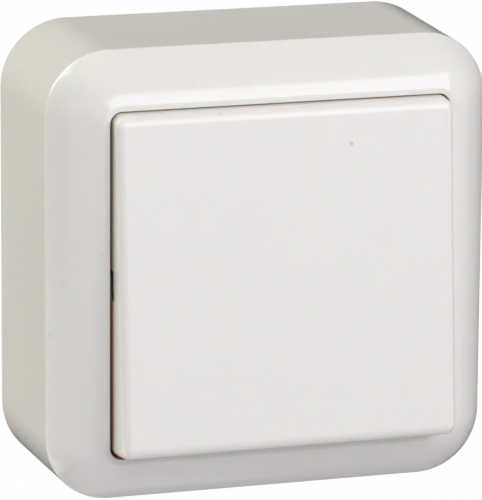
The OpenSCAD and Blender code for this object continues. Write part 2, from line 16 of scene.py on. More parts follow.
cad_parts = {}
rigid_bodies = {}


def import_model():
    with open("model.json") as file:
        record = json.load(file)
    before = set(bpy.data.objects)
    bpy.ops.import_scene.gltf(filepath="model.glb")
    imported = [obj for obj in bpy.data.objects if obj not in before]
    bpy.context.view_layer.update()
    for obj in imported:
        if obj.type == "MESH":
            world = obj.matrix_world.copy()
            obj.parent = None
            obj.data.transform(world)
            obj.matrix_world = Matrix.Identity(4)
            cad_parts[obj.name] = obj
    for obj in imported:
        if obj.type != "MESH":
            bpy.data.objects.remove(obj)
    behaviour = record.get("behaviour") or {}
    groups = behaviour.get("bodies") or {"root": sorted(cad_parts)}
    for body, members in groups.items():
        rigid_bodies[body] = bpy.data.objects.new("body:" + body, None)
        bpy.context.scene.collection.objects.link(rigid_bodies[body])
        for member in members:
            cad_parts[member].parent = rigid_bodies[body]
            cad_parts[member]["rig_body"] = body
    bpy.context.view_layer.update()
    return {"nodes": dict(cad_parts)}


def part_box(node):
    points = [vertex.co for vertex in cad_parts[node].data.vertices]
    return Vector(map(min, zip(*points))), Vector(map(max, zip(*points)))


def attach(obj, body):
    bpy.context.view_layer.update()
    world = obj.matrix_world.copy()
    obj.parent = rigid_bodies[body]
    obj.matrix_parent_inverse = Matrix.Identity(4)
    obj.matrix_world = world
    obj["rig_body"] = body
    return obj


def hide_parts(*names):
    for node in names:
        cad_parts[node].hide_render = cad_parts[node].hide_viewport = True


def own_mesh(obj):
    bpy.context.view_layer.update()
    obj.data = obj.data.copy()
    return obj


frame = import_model()
COVER_LOW, COVER_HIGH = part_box("cover")
ROCKER_LOW, ROCKER_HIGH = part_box("rocker")

bl_info = {
    "name": "Surface mounted light switch",
    "version": (1, 0, 0),
    "blender": (4, 5, 0),
    "location": "3D Viewport > Sidebar > Light Switch",
    "description": "Mouldings, contacts and studio for a surface mounted light switch",
    "category": "Add Mesh",
}

MM = 0.001


# Settings that a user would change


class CoverSettings(PropertyGroup):
    """Sizes of the cover that the eye can tell"""

    wall_height: FloatProperty(
        name="Wall height", description="From the wall of the room to the edge of the bezel",
        default=28.8 * MM, unit="LENGTH", precision=4)
    wall_draft: FloatProperty(
        name="Wall draft", description="How far each wall leans in over its height",
        default=0.6 * MM, unit="LENGTH", precision=4)
    wall_sink: FloatProperty(
        name="Wall sink", description="Hollow in the middle of each wall, left by shrinking",
        default=0.12 * MM, unit="LENGTH", precision=5)
    edge_rounding: FloatProperty(
        name="Edge rounding", description="Radius of the edge between wall and bezel",
        default=1.0 * MM, unit="LENGTH", precision=4)
    bezel_bulge: FloatProperty(
        name="Bezel bulge", description="Height of the bezel's curve above a flat slope",
        default=0.8 * MM, unit="LENGTH", precision=4)
    window_width: FloatProperty(
        name="Window width", description="Width and height of the opening for the rocker",
        default=63.6 * MM, unit="LENGTH", precision=4)
    window_corner: FloatProperty(
        name="Window corner", description="Corner radius of the opening",
        default=2.2 * MM, unit="LENGTH", precision=4)
    lip_width: FloatProperty(
        name="Lip width", description="Flat ring round the opening",
        default=1.1 * MM, unit="LENGTH", precision=4)
    lip_rounding: FloatProperty(
        name="Lip rounding", description="Radius of the lip towards the opening",
        default=0.2 * MM, unit="LENGTH", precision=4)


class RockerSettings(PropertyGroup):
    """Sizes of the rocker that the eye can tell"""

    edge_rounding: FloatProperty(
        name="Edge rounding", description="Radius of the edges of the face",
        default=1.4 * MM, unit="LENGTH", precision=4)
    corner: FloatProperty(
        name="Corner", description="Corner radius of the rocker's outline",
        default=1.8 * MM, unit="LENGTH", precision=4)
    face_depth: FloatProperty(
        name="Face depth", description="Distance from the face to the turning axis",
        default=10.1 * MM, unit="LENGTH", precision=4)
    skirt_depth: FloatProperty(
        name="Skirt depth", description="Distance from the face to the end of the skirt",
        default=9.6 * MM, unit="LENGTH", precision=4)
    notch_width: FloatProperty(
        name="Notch width", description="Width of the notch in each side of the skirt",
        default=5.2 * MM, unit="LENGTH", precision=4)
    resting_tilt: FloatProperty(
        name="Resting tilt", description="Tilt of the rocker with its top half pressed in",
        default=math.radians(4.5), unit="ROTATION")


class FinishSettings(PropertyGroup):
    """Colours of the finishes"""

    cover_colour: FloatVectorProperty(
        name="Cover", description="Glossy moulding of the cover",
        default=(0.80, 0.78, 0.735), subtype="COLOR", size=3, min=0, max=1)
    rocker_colour: FloatVectorProperty(
        name="Rocker", description="Finely matt moulding of the rocker",
        default=(0.80, 0.78, 0.74), subtype="COLOR", size=3, min=0, max=1)
    base_colour: FloatVectorProperty(
        name="Base", description="Plain light moulding of the base",
        default=(0.70, 0.69, 0.65), subtype="COLOR", size=3, min=0, max=1)
    lid_colour: FloatVectorProperty(
        name="Lid and carrier", description="Plain white moulding inside",
        default=(0.74, 0.73, 0.69), subtype="COLOR", size=3, min=0, max=1)
    block_colour: FloatVectorProperty(
        name="Mechanism block", description="Dark thermoset moulding",
        default=(0.030, 0.031, 0.034), subtype="COLOR", size=3, min=0, max=1)
    zinc_colour: FloatVectorProperty(
        name="Zinc plate", description="Screws and clamping plates",
        default=(0.60, 0.60, 0.58), subtype="COLOR", size=3, min=0, max=1)
    brass_colour: FloatVectorProperty(
        name="Brass", description="Contact strips and plunger",
        default=(0.72, 0.50, 0.20), subtype="COLOR", size=3, min=0, max=1)
    copper_colour: FloatVectorProperty(
        name="Copper", description="See-saw contact",
        default=(0.70, 0.36, 0.20), subtype="COLOR", size=3, min=0, max=1)
    silver_colour: FloatVectorProperty(
        name="Silver", description="Contact faces",
        default=(0.80, 0.79, 0.76), subtype="COLOR", size=3, min=0, max=1)
    spring_colour: FloatVectorProperty(
        name="Spring steel", description="Wire of the plunger's spring",
        default=(0.48, 0.48, 0.49), subtype="COLOR", size=3, min=0, max=1)


class StudioSettings(PropertyGroup):
    """Camera and light"""

    lens: FloatProperty(
        name="Lens", description="Focal length", default=330.21, subtype="DISTANCE_CAMERA")
    azimuth: FloatProperty(
        name="Azimuth", description="Turn of the camera to the right of the switch",
        default=math.radians(-17.74), unit="ROTATION")
    elevation: FloatProperty(
        name="Elevation", description="Height of the camera above the switch, as an angle",
        default=math.radians(13.6097), unit="ROTATION")
    roll: FloatProperty(
        name="Roll", description="Turn of the picture", default=math.radians(0.4048), unit="ROTATION")
    distance: FloatProperty(
        name="Distance", description="From the camera to the point that it looks at",
        default=0.8368, unit="LENGTH")
    aim: FloatVectorProperty(
        name="Aim", description="The point that the camera looks at",
        default=(-0.002293, -0.021, 0.001225), subtype="TRANSLATION", size=3)
    floor_depth: FloatProperty(
        name="Floor", description="Depth of the floor under the switch", default=1.3, unit="LENGTH")
    ambience: FloatProperty(
        name="Ambience", description="Strength of the light from all round", default=0.07)


class SwitchSettings(PropertyGroup):
    """Everything that can be set for the light switch"""

    cover: PointerProperty(type=CoverSettings)
    rocker: PointerProperty(type=RockerSettings)
    finish: PointerProperty(type=FinishSettings)
    studio: PointerProperty(type=StudioSettings)


# Shapes


def rounded(line, radii, steps):
    """Rounds the corners of a polyline of (out, height) points.

    Each corner with a radius is replaced by an arc that touches both of its legs: the arc's centre
    lies on the bisector at radius / sin(half angle), and its points are spaced evenly by angle.
    """
    line = np.asarray(line, float)
    pieces = [line[:1]]
    for before, corner, after, radius in zip(line[:-2], line[1:-1], line[2:], radii):
        if radius <= 0:
            pieces.append(corner[None])
            continue
        to_before = (before - corner) / np.linalg.norm(before - corner)
        to_after = (after - corner) / np.linalg.norm(after - corner)
        half = math.acos(np.clip(to_before @ to_after, -1, 1)) / 2
        bisector = (to_before + to_after) / np.linalg.norm(to_before + to_after)
        centre = corner + bisector * radius / math.sin(half)
        first = corner + to_before * radius / math.tan(half) - centre
        side = -np.sign(to_before[0] * to_after[1] - to_before[1] * to_after[0])
        turn = side * np.linspace(0, math.pi - 2 * half, steps + 1)
        pieces.append(centre + np.stack([
            first[0] * np.cos(turn) - first[1] * np.sin(turn),
            first[0] * np.sin(turn) + first[1] * np.cos(turn)], 1))
    pieces.append(line[-1:])
    return np.concatenate(pieces)


def bow(start, end, bulge, steps):
    """Arc from start to end that rises by bulge above its chord, on the right of that way."""
    start, end = np.asarray(start, float), np.asarray(end, float)
    chord = np.linalg.norm(end - start)
    radius = (chord ** 2 / 4 + bulge ** 2) / (2 * bulge)
    along = (end - start) / chord
    out = np.array([along[1], -along[0]])
    middle = (start + end) / 2 - out * (radius - bulge)
    turn = math.asin(chord / 2 / radius) * np.linspace(-1, 1, steps + 1)[:, None]
    return middle + radius * (out * np.cos(turn) + along * np.sin(turn))


def square_round(stops, corner_steps):
    """Goes once round a square with rounded corners.

    Returns for each column the place of its centre on a square of half width 1, the outward unit
    normal, and how far along its side it is, from -1 to 1. At a corner the centre stands still
    while the normal turns by a right angle; along a side the normal stands still.
    """
    turn = np.linspace(0, math.pi / 2, corner_steps + 1)
    centre = np.concatenate([
        np.stack([np.ones_like(stops), stops], 1), np.ones((corner_steps + 1, 2))])
    normal = np.concatenate([
        np.tile([1.0, 0.0], (len(stops), 1)), np.stack([np.cos(turn), np.sin(turn)], 1)])
    along = np.concatenate([stops, np.ones(corner_steps + 1)])
    quarter = [np.array([[math.cos(w), math.sin(w)], [-math.sin(w), math.cos(w)]])
               for w in np.arange(4) * math.pi / 2]
    return (np.concatenate([centre @ q for q in quarter]),
            np.concatenate([normal @ q for q in quarter]), np.tile(along, 4))


def carried(rows, centre, normal):
    """Carries rows of (reach x, reach y, out, height) round a square.

    A row's point on a column is reach times the column's centre plus out times its normal, at the
    row's height. Rows are the first index of the result and columns the second. Out and height
    may differ from column to column.
    """
    reach_x, reach_y, out, height = (np.asarray(r, float) for r in rows)
    out = np.broadcast_to(out if out.ndim == 2 else out[:, None], (len(reach_x), len(centre)))
    height = np.broadcast_to(height if height.ndim == 2 else height[:, None], out.shape)
    return np.stack([
        reach_x[:, None] * centre[:, 0] + out * normal[:, 0],
        reach_y[:, None] * centre[:, 1] + out * normal[:, 1], height], 2)


def grid_faces(rows, columns, rows_close=False):
    """Quads between neighbours of a grid whose columns close, and whose rows close on request."""
    row = np.arange(rows if rows_close else rows - 1)[:, None]
    column = np.arange(columns)[None]
    here, beside = row * columns, (row + 1) % rows * columns
    after = (column + 1) % columns
    return np.stack([here + column, here + after, beside + after, beside + column], 2).reshape(-1, 4)


def capped(points):
    """Points and faces of a grid with closing columns whose first and last row each shrink to
    their mean point, joined to it by a fan of triangles, so that both poles are closed."""
    rows, columns = points.shape[:2]
    flat = np.concatenate([points.reshape(-1, 3), points[:1].mean(1), points[-1:].mean(1)])
    first, last = rows * columns, rows * columns + 1
    column = np.arange(columns)
    after = (column + 1) % columns
    low = np.stack([np.full(columns, first), after, column], 1)
    high = np.stack([column, after, np.full(columns, last - (rows - 1) * columns)], 1)
    high += (rows - 1) * columns
    return flat, [*grid_faces(rows, columns).tolist(), *low.tolist(), *high.tolist()]


def prism(x, y, z):
    """Points and faces of a closed block between two values of x, y and z."""
    corner = np.array([[i, j, k] for i in (0, 1) for j in (0, 1) for k in (0, 1)])
    points = np.stack([np.take(x, corner[:, 0]), np.take(y, corner[:, 1]), np.take(z, corner[:, 2])], 1)
    faces = [[0, 1, 3, 2], [4, 6, 7, 5], [0, 4, 5, 1], [2, 3, 7, 6], [0, 2, 6, 4], [1, 5, 7, 3]]
    return points, faces


def turned(radii, heights, steps=48):
    """Points and faces of a solid of revolution: each (radius, height) turns round the third axis,
    and both ends are closed."""
    angle = np.linspace(0, 2 * math.pi, steps, endpoint=False)
    radii, heights = np.asarray(radii, float)[:, None], np.asarray(heights, float)[:, None]
    return capped(np.stack([
        radii * np.cos(angle), radii * np.sin(angle), heights + 0 * angle], 2))


def joined(shells):
    """Puts several closed shells of points and faces into one list of each."""
    points, faces, start = [], [], 0
    for shell_points, shell_faces in shells:
        points.append(np.asarray(shell_points, float).reshape(-1, 3))
        faces += [[start + v for v in face] for face in shell_faces]
        start += len(points[-1])
    return np.concatenate(points), faces


def volume(points, faces):
    """Signed volume of a closed shell: a sixth of the sum of corner products over its triangles."""
    triangles = np.array([[f[0], f[i], f[i + 1]] for f in faces for i in range(1, len(f) - 1)])
    a, b, c = (points[triangles[:, i]] for i in range(3))
    return float(np.einsum("ij,ij->i", a, np.cross(b, c)).sum() / 6)


def outward(points, faces):
    """Turns a closed shell's faces round if its signed volume shows that they point inwards."""
    if volume(np.asarray(points).reshape(-1, 3), faces) < 0:
        faces = [face[::-1] for face in faces]
    return points, faces


def stood_up(points):
    """Turns points that lie on their back upright, as the part's source does: y becomes z, and the
    height above the wall counts against y. Millimetres become metres."""
    points = np.asarray(points, float).reshape(-1, 3)
    return np.stack([points[:, 0], -points[:, 2], points[:, 1]], 1) * MM


def new_piece(name, points, faces, material, sharp=35):
    """Makes a mesh object at the origin, smooth apart from edges sharper than an angle."""
    mesh = bpy.data.meshes.new(name)
    mesh.from_pydata(points.tolist(), [], faces)
    mesh.update()
    mesh.shade_smooth()
    mesh.set_sharp_from_angle(angle=math.radians(sharp))
    if material:
        mesh.materials.append(material)
    piece = bpy.data.objects.new(name, mesh)
    bpy.context.scene.collection.objects.link(piece)
    return piece


def cut_out(piece, points, faces):
    """Subtracts a closed shell from a piece, and leaves neither modifier nor cutter behind."""
    cutter = new_piece("cutter", points, faces, None)
    modifier = piece.modifiers.new("cut", "BOOLEAN")
    modifier.operation, modifier.solver, modifier.object = "DIFFERENCE", "EXACT", cutter
    bpy.context.view_layer.update()
    cut = bpy.data.meshes.new_from_object(
        piece.evaluated_get(bpy.context.evaluated_depsgraph_get()))
    piece.modifiers.clear()
    piece.data = cut
    bpy.data.objects.remove(cutter)


def merged_copy(node, name, material, flat_angle, sharp_angle):
    """Stands for a CAD node with a copy of its mesh: the loose triangles are merged, and areas that
    are flat within an angle become whole faces."""
    piece = bpy.data.objects.new(name, frame["nodes"][node].data.copy())
    bpy.context.scene.collection.objects.link(piece)
    shell = bmesh.new()
    shell.from_mesh(piece.data)
    bmesh.ops.remove_doubles(shell, verts=shell.verts, dist=1e-6)
    if flat_angle:
        bmesh.ops.dissolve_limit(
            shell, angle_limit=math.radians(flat_angle), verts=shell.verts, edges=shell.edges)
    shell.to_mesh(piece.data)
    shell.free()
    piece.data.materials.clear()
    piece.data.materials.append(material)
    piece.data.shade_smooth()
    piece.data.set_sharp_from_angle(angle=math.radians(sharp_angle))
    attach(piece, frame["nodes"][node]["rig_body"])
    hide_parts(node)
    return piece


def softened(node, name, material, width, angle=30):
    """A merged copy of a CAD node whose edges sharper than an angle get a small bevel."""
    piece = merged_copy(node, name, material, 0.6, angle)
    bevel = piece.modifiers.new("soft edges", "BEVEL")
    bevel.width, bevel.segments, bevel.limit_method = width, 2, "ANGLE"
    bevel.angle_limit, bevel.harden_normals = math.radians(angle), True
    bevel.use_clamp_overlap = True
    plain = piece.modifiers.new("plain triangles", "TRIANGULATE")
    plain.keep_custom_normals = True
    return piece


def make_spring(material):
    """Stands for the CAD spring with a merged copy of its mesh, which then gets a mesh of its own."""
    piece = merged_copy("plunger_spring", "spring_coil", material, 0, 60)
    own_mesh(piece)
    return piece


# Finishes


def shader_group(name, inputs, outputs):
    """Makes an empty node group with named sockets. Inputs come as (name, kind, default)."""
    group = bpy.data.node_groups.new(name, "ShaderNodeTree")
    for label, kind, value in inputs:
        socket = group.interface.new_socket(label, in_out="INPUT", socket_type=kind)
        if value is not None:
            socket.default_value = value
    for label, kind in outputs:
        group.interface.new_socket(label, in_out="OUTPUT", socket_type=kind)
    return group, group.nodes.new("NodeGroupInput"), group.nodes.new("NodeGroupOutput")


def put(tree, kind, links=(), **values):
    """Adds a node: values set its own properties, and links fills its inputs by index or name with
    a socket or a plain value."""
    node = tree.nodes.new(kind)
    for key, value in values.items():
        setattr(node, key, value)
    for key, value in dict(links).items():
        if isinstance(value, bpy.types.NodeSocket):
            tree.links.new(value, node.inputs[key])
        else:
            node.inputs[key].default_value = value
    return node


def math_node(tree, operation, a, b=0.0, clamp=False):
    """One Math node with its result."""
    return put(tree, "ShaderNodeMath", {0: a, 1: b}, operation=operation, use_clamp=clamp).outputs[0]


def noise(tree, vector, scale, detail=2.0, roughness=0.5):
    """One Noise Texture with its value."""
    return put(tree, "ShaderNodeTexNoise", {
        "Vector": vector, "Scale": scale, "Detail": detail, "Roughness": roughness}).outputs["Fac"]


def ramp(tree, value, low, high, smooth=True):
    """Maps low..high of a value to 0..1."""
    return put(tree, "ShaderNodeMapRange", {
        "Value": value, "From Min": low, "From Max": high},
        interpolation_type="SMOOTHSTEP" if smooth else "LINEAR").outputs["Result"]


def blend_colour(tree, share, a, b, kind="MIX"):
    """Blends two colours by a share."""
    node = put(tree, "ShaderNodeMix", data_type="RGBA", blend_type=kind)
    for socket, value in ((node.inputs["Factor"], share), (node.inputs["A"], None)):
        if isinstance(value, bpy.types.NodeSocket):
            tree.links.new(value, socket)
        elif value is not None:
            socket.default_value = value
    for key, value in ((6, a), (7, b)):
        if isinstance(value, bpy.types.NodeSocket):
            tree.links.new(value, node.inputs[key])
        else:
            node.inputs[key].default_value = (*value[:3], 1)
    return node.outputs[2]


def moulded_skin():
    """Group for injection moulded plastic: slow drifts of tone where the melt flowed, a fine grain,
    and rare dust specks. Object coordinates go in; colour, roughness and height come out."""
    group, given, result = shader_group("moulded skin", [
        ("Vector", "NodeSocketVector", None),
        ("Plastic", "NodeSocketColor", (0.8, 0.8, 0.8, 1)),
        ("Tone Drift", "NodeSocketFloat", 0.02),
        ("Speck Amount", "NodeSocketFloat", 0.3),
        ("Grain Size", "NodeSocketFloat", 3000.0),
        ("Grain Share", "NodeSocketFloat", 1.0),
        ("Polish", "NodeSocketFloat", 0.2),
        ("Polish Drift", "NodeSocketFloat", 0.05),
    ], [("Colour", "NodeSocketColor"), ("Roughness", "NodeSocketFloat"), ("Height", "NodeSocketFloat")])
    sockets = given.outputs
    drift = noise(group, sockets["Vector"], 38.0, 3.0, 0.55)
    fine_drift = noise(group, sockets["Vector"], 240.0, 2.0)
    shade = math_node(group, "MULTIPLY", math_node(group, "SUBTRACT", drift, 0.5), sockets["Tone Drift"])
    shade = math_node(group, "ADD", shade, 1.0)
    toned = blend_colour(group, 1.0, sockets["Plastic"], put(
        group, "ShaderNodeCombineColor", {0: shade, 1: shade, 2: shade}).outputs[0], "MULTIPLY")
    # Specks: a few of the cells of a Voronoi pattern carry a dot round their own middle
    cells = put(group, "ShaderNodeTexVoronoi", {"Vector": sockets["Vector"], "Scale": 190.0})
    dot = math_node(group, "SUBTRACT", 1.0, ramp(group, cells.outputs["Distance"], 0.012, 0.045))
    chosen = math_node(group, "GREATER_THAN", put(
        group, "ShaderNodeSeparateColor", {0: cells.outputs["Color"]}).outputs[0], 0.93)
    speck = math_node(group, "MULTIPLY", math_node(group, "MULTIPLY", dot, chosen), sockets["Speck Amount"])
    coloured = blend_colour(group, speck, toned, (0.22, 0.20, 0.17))
    grain = put(group, "ShaderNodeTexNoise", {
        "Vector": sockets["Vector"], "Scale": sockets["Grain Size"], "Detail": 2.0}).outputs["Fac"]
    grain = math_node(group, "MULTIPLY", math_node(group, "SUBTRACT", grain, 0.5), sockets["Grain Share"])
    height = math_node(group, "ADD", grain, math_node(group, "MULTIPLY", speck, 0.4))
    polish = math_node(group, "ADD", sockets["Polish"], math_node(
        group, "MULTIPLY", math_node(group, "SUBTRACT", fine_drift, 0.5), sockets["Polish Drift"]))
    group.links.new(coloured, result.inputs["Colour"])
    group.links.new(math_node(group, "ADD", polish, math_node(
        group, "MULTIPLY", speck, 0.3), clamp=True), result.inputs["Roughness"])
    group.links.new(height, result.inputs["Height"])
    return group


def drawn_metal():
    """Group for rolled, drawn and stamped metal: long fine streaks along one axis, cloudy tarnish
    and small pits. Object coordinates go in; colour, roughness and height come out."""
    group, given, result = shader_group("drawn metal", [
        ("Vector", "NodeSocketVector", None),
        ("Metal", "NodeSocketColor", (0.6, 0.6, 0.6, 1)),
        ("Tarnish", "NodeSocketColor", (0.3, 0.3, 0.3, 1)),
        ("Tarnish Amount", "NodeSocketFloat", 0.3),
        ("Streak Depth", "NodeSocketFloat", 0.5),
        ("Polish", "NodeSocketFloat", 0.3),
    ], [("Colour", "NodeSocketColor"), ("Roughness", "NodeSocketFloat"), ("Height", "NodeSocketFloat")])
    sockets = given.outputs
    stretched = put(group, "ShaderNodeMapping", {
        "Vector": sockets["Vector"], "Scale": (300.0, 6000.0, 6000.0)}).outputs[0]
    streak = noise(group, stretched, 1.0, 3.0, 0.6)
    cloud = ramp(group, noise(group, sockets["Vector"], 420.0, 4.0, 0.6), 0.42, 0.68)
    stained = math_node(group, "MULTIPLY", cloud, sockets["Tarnish Amount"])
    colour = blend_colour(group, stained, sockets["Metal"], sockets["Tarnish"])
    spread = math_node(group, "MULTIPLY", math_node(group, "SUBTRACT", streak, 0.5), 0.25)
    rough = math_node(group, "ADD", sockets["Polish"], math_node(
        group, "ADD", spread, math_node(group, "MULTIPLY", stained, 0.35)), clamp=True)
    group.links.new(colour, result.inputs["Colour"])
    group.links.new(rough, result.inputs["Roughness"])
    group.links.new(math_node(group, "MULTIPLY", streak, sockets["Streak Depth"]), result.inputs["Height"])
    return group


def group_once(name, maker):
    """The shader group of that name, made the first time it is asked for."""
    return bpy.data.node_groups.get(name) or maker()


def finish(name, group, values, shader_values, bump):
    """A material whose Principled shader takes colour, roughness and bump from a shared group."""
    material = bpy.data.materials.get(name)
    if material:
        return material
    material = bpy.data.materials.new(name)
    material.use_nodes = True
    tree = material.node_tree
    shader = tree.nodes["Principled BSDF"]
    for key, value in shader_values.items():
        shader.inputs[key].default_value = value
    place = tree.nodes.new("ShaderNodeTexCoord").outputs["Object"]
    skin = put(tree, "ShaderNodeGroup", node_tree=group)
    skin.name = "skin"
    tree.links.new(place, skin.inputs["Vector"])
    for key, value in values.items():
        skin.inputs[key].default_value = (*value, 1) if hasattr(value, "__len__") else value
    relief = put(tree, "ShaderNodeBump", {
        "Strength": bump[0], "Distance": bump[1], "Height": skin.outputs["Height"]})
    relief.name = "relief"
    tree.links.new(skin.outputs["Colour"], shader.inputs["Base Color"])
    tree.links.new(skin.outputs["Roughness"], shader.inputs["Roughness"])
    tree.links.new(relief.outputs["Normal"], shader.inputs["Normal"])
    return material


def plastic(name, colour, polish, grain=0.3, drift=0.03, specks=0.3, bump=0.15, soak=0.0):
    """A moulded plastic with its own colour and polish. Soak is the share of its colour that comes
    from light spreading inside it, red furthest, which warms narrow shadows on white plastic."""
    return finish(name, group_once("moulded skin", moulded_skin), {
        "Plastic": tuple(colour), "Polish": polish, "Grain Share": grain, "Tone Drift": drift,
        "Speck Amount": specks}, {
            "IOR": 1.5, "Subsurface Weight": soak, "Subsurface Radius": (1.0, 0.5, 0.25),
            "Subsurface Scale": 0.002}, (bump, 0.00005))


def metal(name, colour, tarnish, amount, polish, streak=0.5):
    """A bare or plated metal with its own colour and tarnish."""
    return finish(name, group_once("drawn metal", drawn_metal), {
        "Metal": tuple(colour), "Tarnish": tarnish, "Tarnish Amount": amount, "Polish": polish,
        "Streak Depth": streak}, {"Metallic": 1.0}, (0.25, 0.00002))


def coat_node(name, material):
    """Gives a CAD node that keeps its own shape a finished material."""
    mesh = frame["nodes"][name].data
    mesh.materials.clear()
    mesh.materials.append(material)


# Pieces


def cover_rows(sizes):
    """Rows of the cover's section, all the way round: up the wall, over the rounded edge and the
    bowed bezel, over the lip, down to the ledge, in to its opening, and back along the inside."""
    half = sizes.window_width / 2 / MM
    corner = sizes.window_corner / MM
    reach = half - corner
    wall_out = (COVER_HIGH.x - COVER_LOW.x) / 2 / MM - reach
    wall_h = sizes.wall_height / MM
    rim_h = -COVER_LOW.y / MM
    front_out = wall_out - sizes.wall_draft / MM
    lip = (corner + sizes.lip_width / MM, rim_h)
    ledge_top, ledge_low = LEDGE_TOP, LEDGE_TOP - LEDGE_T
    foot_round, fillet, bend = 0.25, 0.35, 0.5

    curve = bow((front_out, wall_h), lip, sizes.bezel_bulge / MM, 26)
    outside = rounded(
        [(wall_out - 1, 0), (wall_out, 0), (front_out, wall_h), curve[2]],
        [foot_round, sizes.edge_rounding / MM], 10)[1:]
    wall = outside[10:12]
    share = (1 - np.cos(np.linspace(0, math.pi, 15)[1:-1])) / 2
    outside = np.concatenate([
        outside[:11], wall[0] + (wall[1] - wall[0]) * share[:, None], outside[11:-1]])
    lip_line = rounded(
        [curve[-3], lip, (corner, rim_h), (corner, ledge_top), (corner - 3, ledge_top)],
        [bend, sizes.lip_rounding / MM, fillet], 8)[1:-1]
    front = np.concatenate([outside, curve[2:-2], lip_line])
    rows = [np.column_stack([np.full((len(front), 2), reach), front])]

    # The ledge: the outline shrinks evenly from the window's to the opening's
    share = np.linspace(0, 1, 9)[1:, None]
    window = np.array([[reach, reach, corner - fillet, ledge_top]])
    opening = np.array([[LEDGE_OPEN[0] / 2 - OPEN_R, LEDGE_OPEN[1] / 2 - OPEN_R, OPEN_R + 0.25, ledge_top]])
    rows.append(window + (opening - window) * share)
    turn = np.linspace(0, math.pi / 2, 5)[1:, None]
    rows.append(opening + np.hstack([0 * turn, 0 * turn, -0.25 * np.sin(turn), 0.25 * (np.cos(turn) - 1)]))
    under_opening = opening - [[0, 0, 0, LEDGE_T]]
    rows.append(under_opening + np.hstack([
        0 * turn, 0 * turn, -0.25 * np.cos(turn), 0.25 * (1 - np.sin(turn))]))
    back = np.array([[reach, reach, corner + WINDOW_T, ledge_low]])
    rows.append(under_opening + (back - under_opening) * share)

    slope = np.array([lip[0] - front_out, lip[1] - wall_h])
    slope /= np.linalg.norm(slope)
    inner = front_out - COVER_T
    under = np.array([front_out, wall_h]) + np.array([slope[1], -slope[0]]) * -COVER_T
    under_lip = under[1] + (under[0] - corner - WINDOW_T) * slope[1] / -slope[0]
    under_edge = under[1] + (under[0] - inner) * slope[1] / -slope[0]
    knock_h = KNOCKOUT[1]
    foot = wall_out - COVER_T
    lean = (inner - foot) / under_edge
    inside = np.array([
        (corner + WINDOW_T, under_lip - 0.6), (corner + WINDOW_T + 0.6, under_lip - 0.4),
        (inner - 0.6, under_edge + 0.3), (inner, under_edge - 0.6),
        (foot + lean * 20, 20), (foot + lean * (knock_h + 0.05), knock_h + 0.05),
        (foot + lean * knock_h, knock_h), (foot + lean * 6, 6), (foot, 0.2), (foot + 0.2, 0)])
    rows.append(np.column_stack([np.full((len(inside), 2), reach), inside]))
    rows = np.concatenate(rows)
    return rows, (12, 12 + len(share)), reach, foot


def make_cover(context):
    """Builds the cover, cuts its screw holes and lets it stand for the CAD cover."""
    sizes = context.scene.light_switch.cover
    rows, _, reach, foot = cover_rows(sizes)
    knock = KNOCKOUT[0] / 2 / reach
    stops = np.sort(np.concatenate([
        (1 - np.cos(np.linspace(0, math.pi, 30)[1:-1])) / 2 * 2 - 1,
        [-knock - 0.002, -knock, knock, knock + 0.002]]))
    centre, normal, along = square_round(stops, 22)
    out = np.repeat(rows[:, 2:3], len(centre), 1)
    height = rows[:, 3]
    wall_h = sizes.wall_height / MM
    # The walls sink a little between their ends, and thin places are cut from inside
    on_wall = (rows[:, 2] > reach / 3) & (np.arange(len(rows)) < 60) & (height < wall_h)
    sunk = np.sin(math.pi * np.clip(height / wall_h, 0, 1))[:, None] * (1 - along ** 2)[None]
    out = out - on_wall[:, None] * sunk * sizes.wall_sink / MM
    inside = (np.arange(len(rows)) > 60) & (height <= KNOCKOUT[1]) & (rows[:, 2] > reach / 3)
    thin = inside[:, None] & (np.abs(along) <= knock + 1e-9)[None]
    out = np.where(thin, foot + KNOCKOUT[2], out)
    points = carried((rows[:, 0], rows[:, 1], out, height), centre, normal)
    faces = grid_faces(*points.shape[:2], rows_close=True).tolist()
    flat, faces = outward(points.reshape(-1, 3), faces)
    colours = context.scene.light_switch.finish
    gloss = cover_finish(colours.cover_colour)
    piece = new_piece("cover_moulding", stood_up(flat), outward(stood_up(flat), faces)[1], gloss)
    top = LEDGE_TOP
    for x, y in COVER_SCREWS:
        hole, faces = turned(
            [HEAD_R + 0.3, HEAD_R + 0.3, SHANK_R + 0.2, SHANK_R + 0.2],
            [top + 1, top - 1, top - 1, top - LEDGE_T - 1])
        hole = stood_up(hole + [x, y, 0])
        cut_out(piece, *outward(hole, faces))
    piece.data.set_sharp_from_angle(angle=math.radians(35))
    # Painted shade: the window's walls behind the rim get a share of a warm brown, which stands in for the dim
    # light in the gap round the rocker
    place = np.empty(3 * len(piece.data.vertices), np.float32)
    piece.data.vertices.foreach_get("co", place)
    place = place.reshape(-1, 3) / MM
    beyond = np.maximum(np.abs(place[:, [0, 2]]) - reach, 0)
    window = np.hypot(*beyond.T) <= (sizes.window_corner + sizes.lip_rounding) / MM
    below_rim = (place[:, 1] - COVER_LOW.y / MM) / (sizes.lip_rounding / MM)
    gap_shade_share = np.where(window & (place[:, 1] < -LEDGE_TOP), np.clip(below_rim, 0, 1), 0)
    piece.data.attributes.new("gap_shade_paint", "FLOAT", "POINT").data.foreach_set("value", gap_shade_share.astype(np.float32))
    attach(piece, "root")
    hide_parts("cover")
    return piece


def tilted(points, tilt, pivot):
    """Turns points that are level about the rocker's axis into its resting tilt, at its height."""
    x, y, z = points[..., 0], points[..., 1], points[..., 2]
    return np.stack([
        x, y * math.cos(tilt) + z * math.sin(tilt),
        pivot - y * math.sin(tilt) + z * math.cos(tilt)], -1)


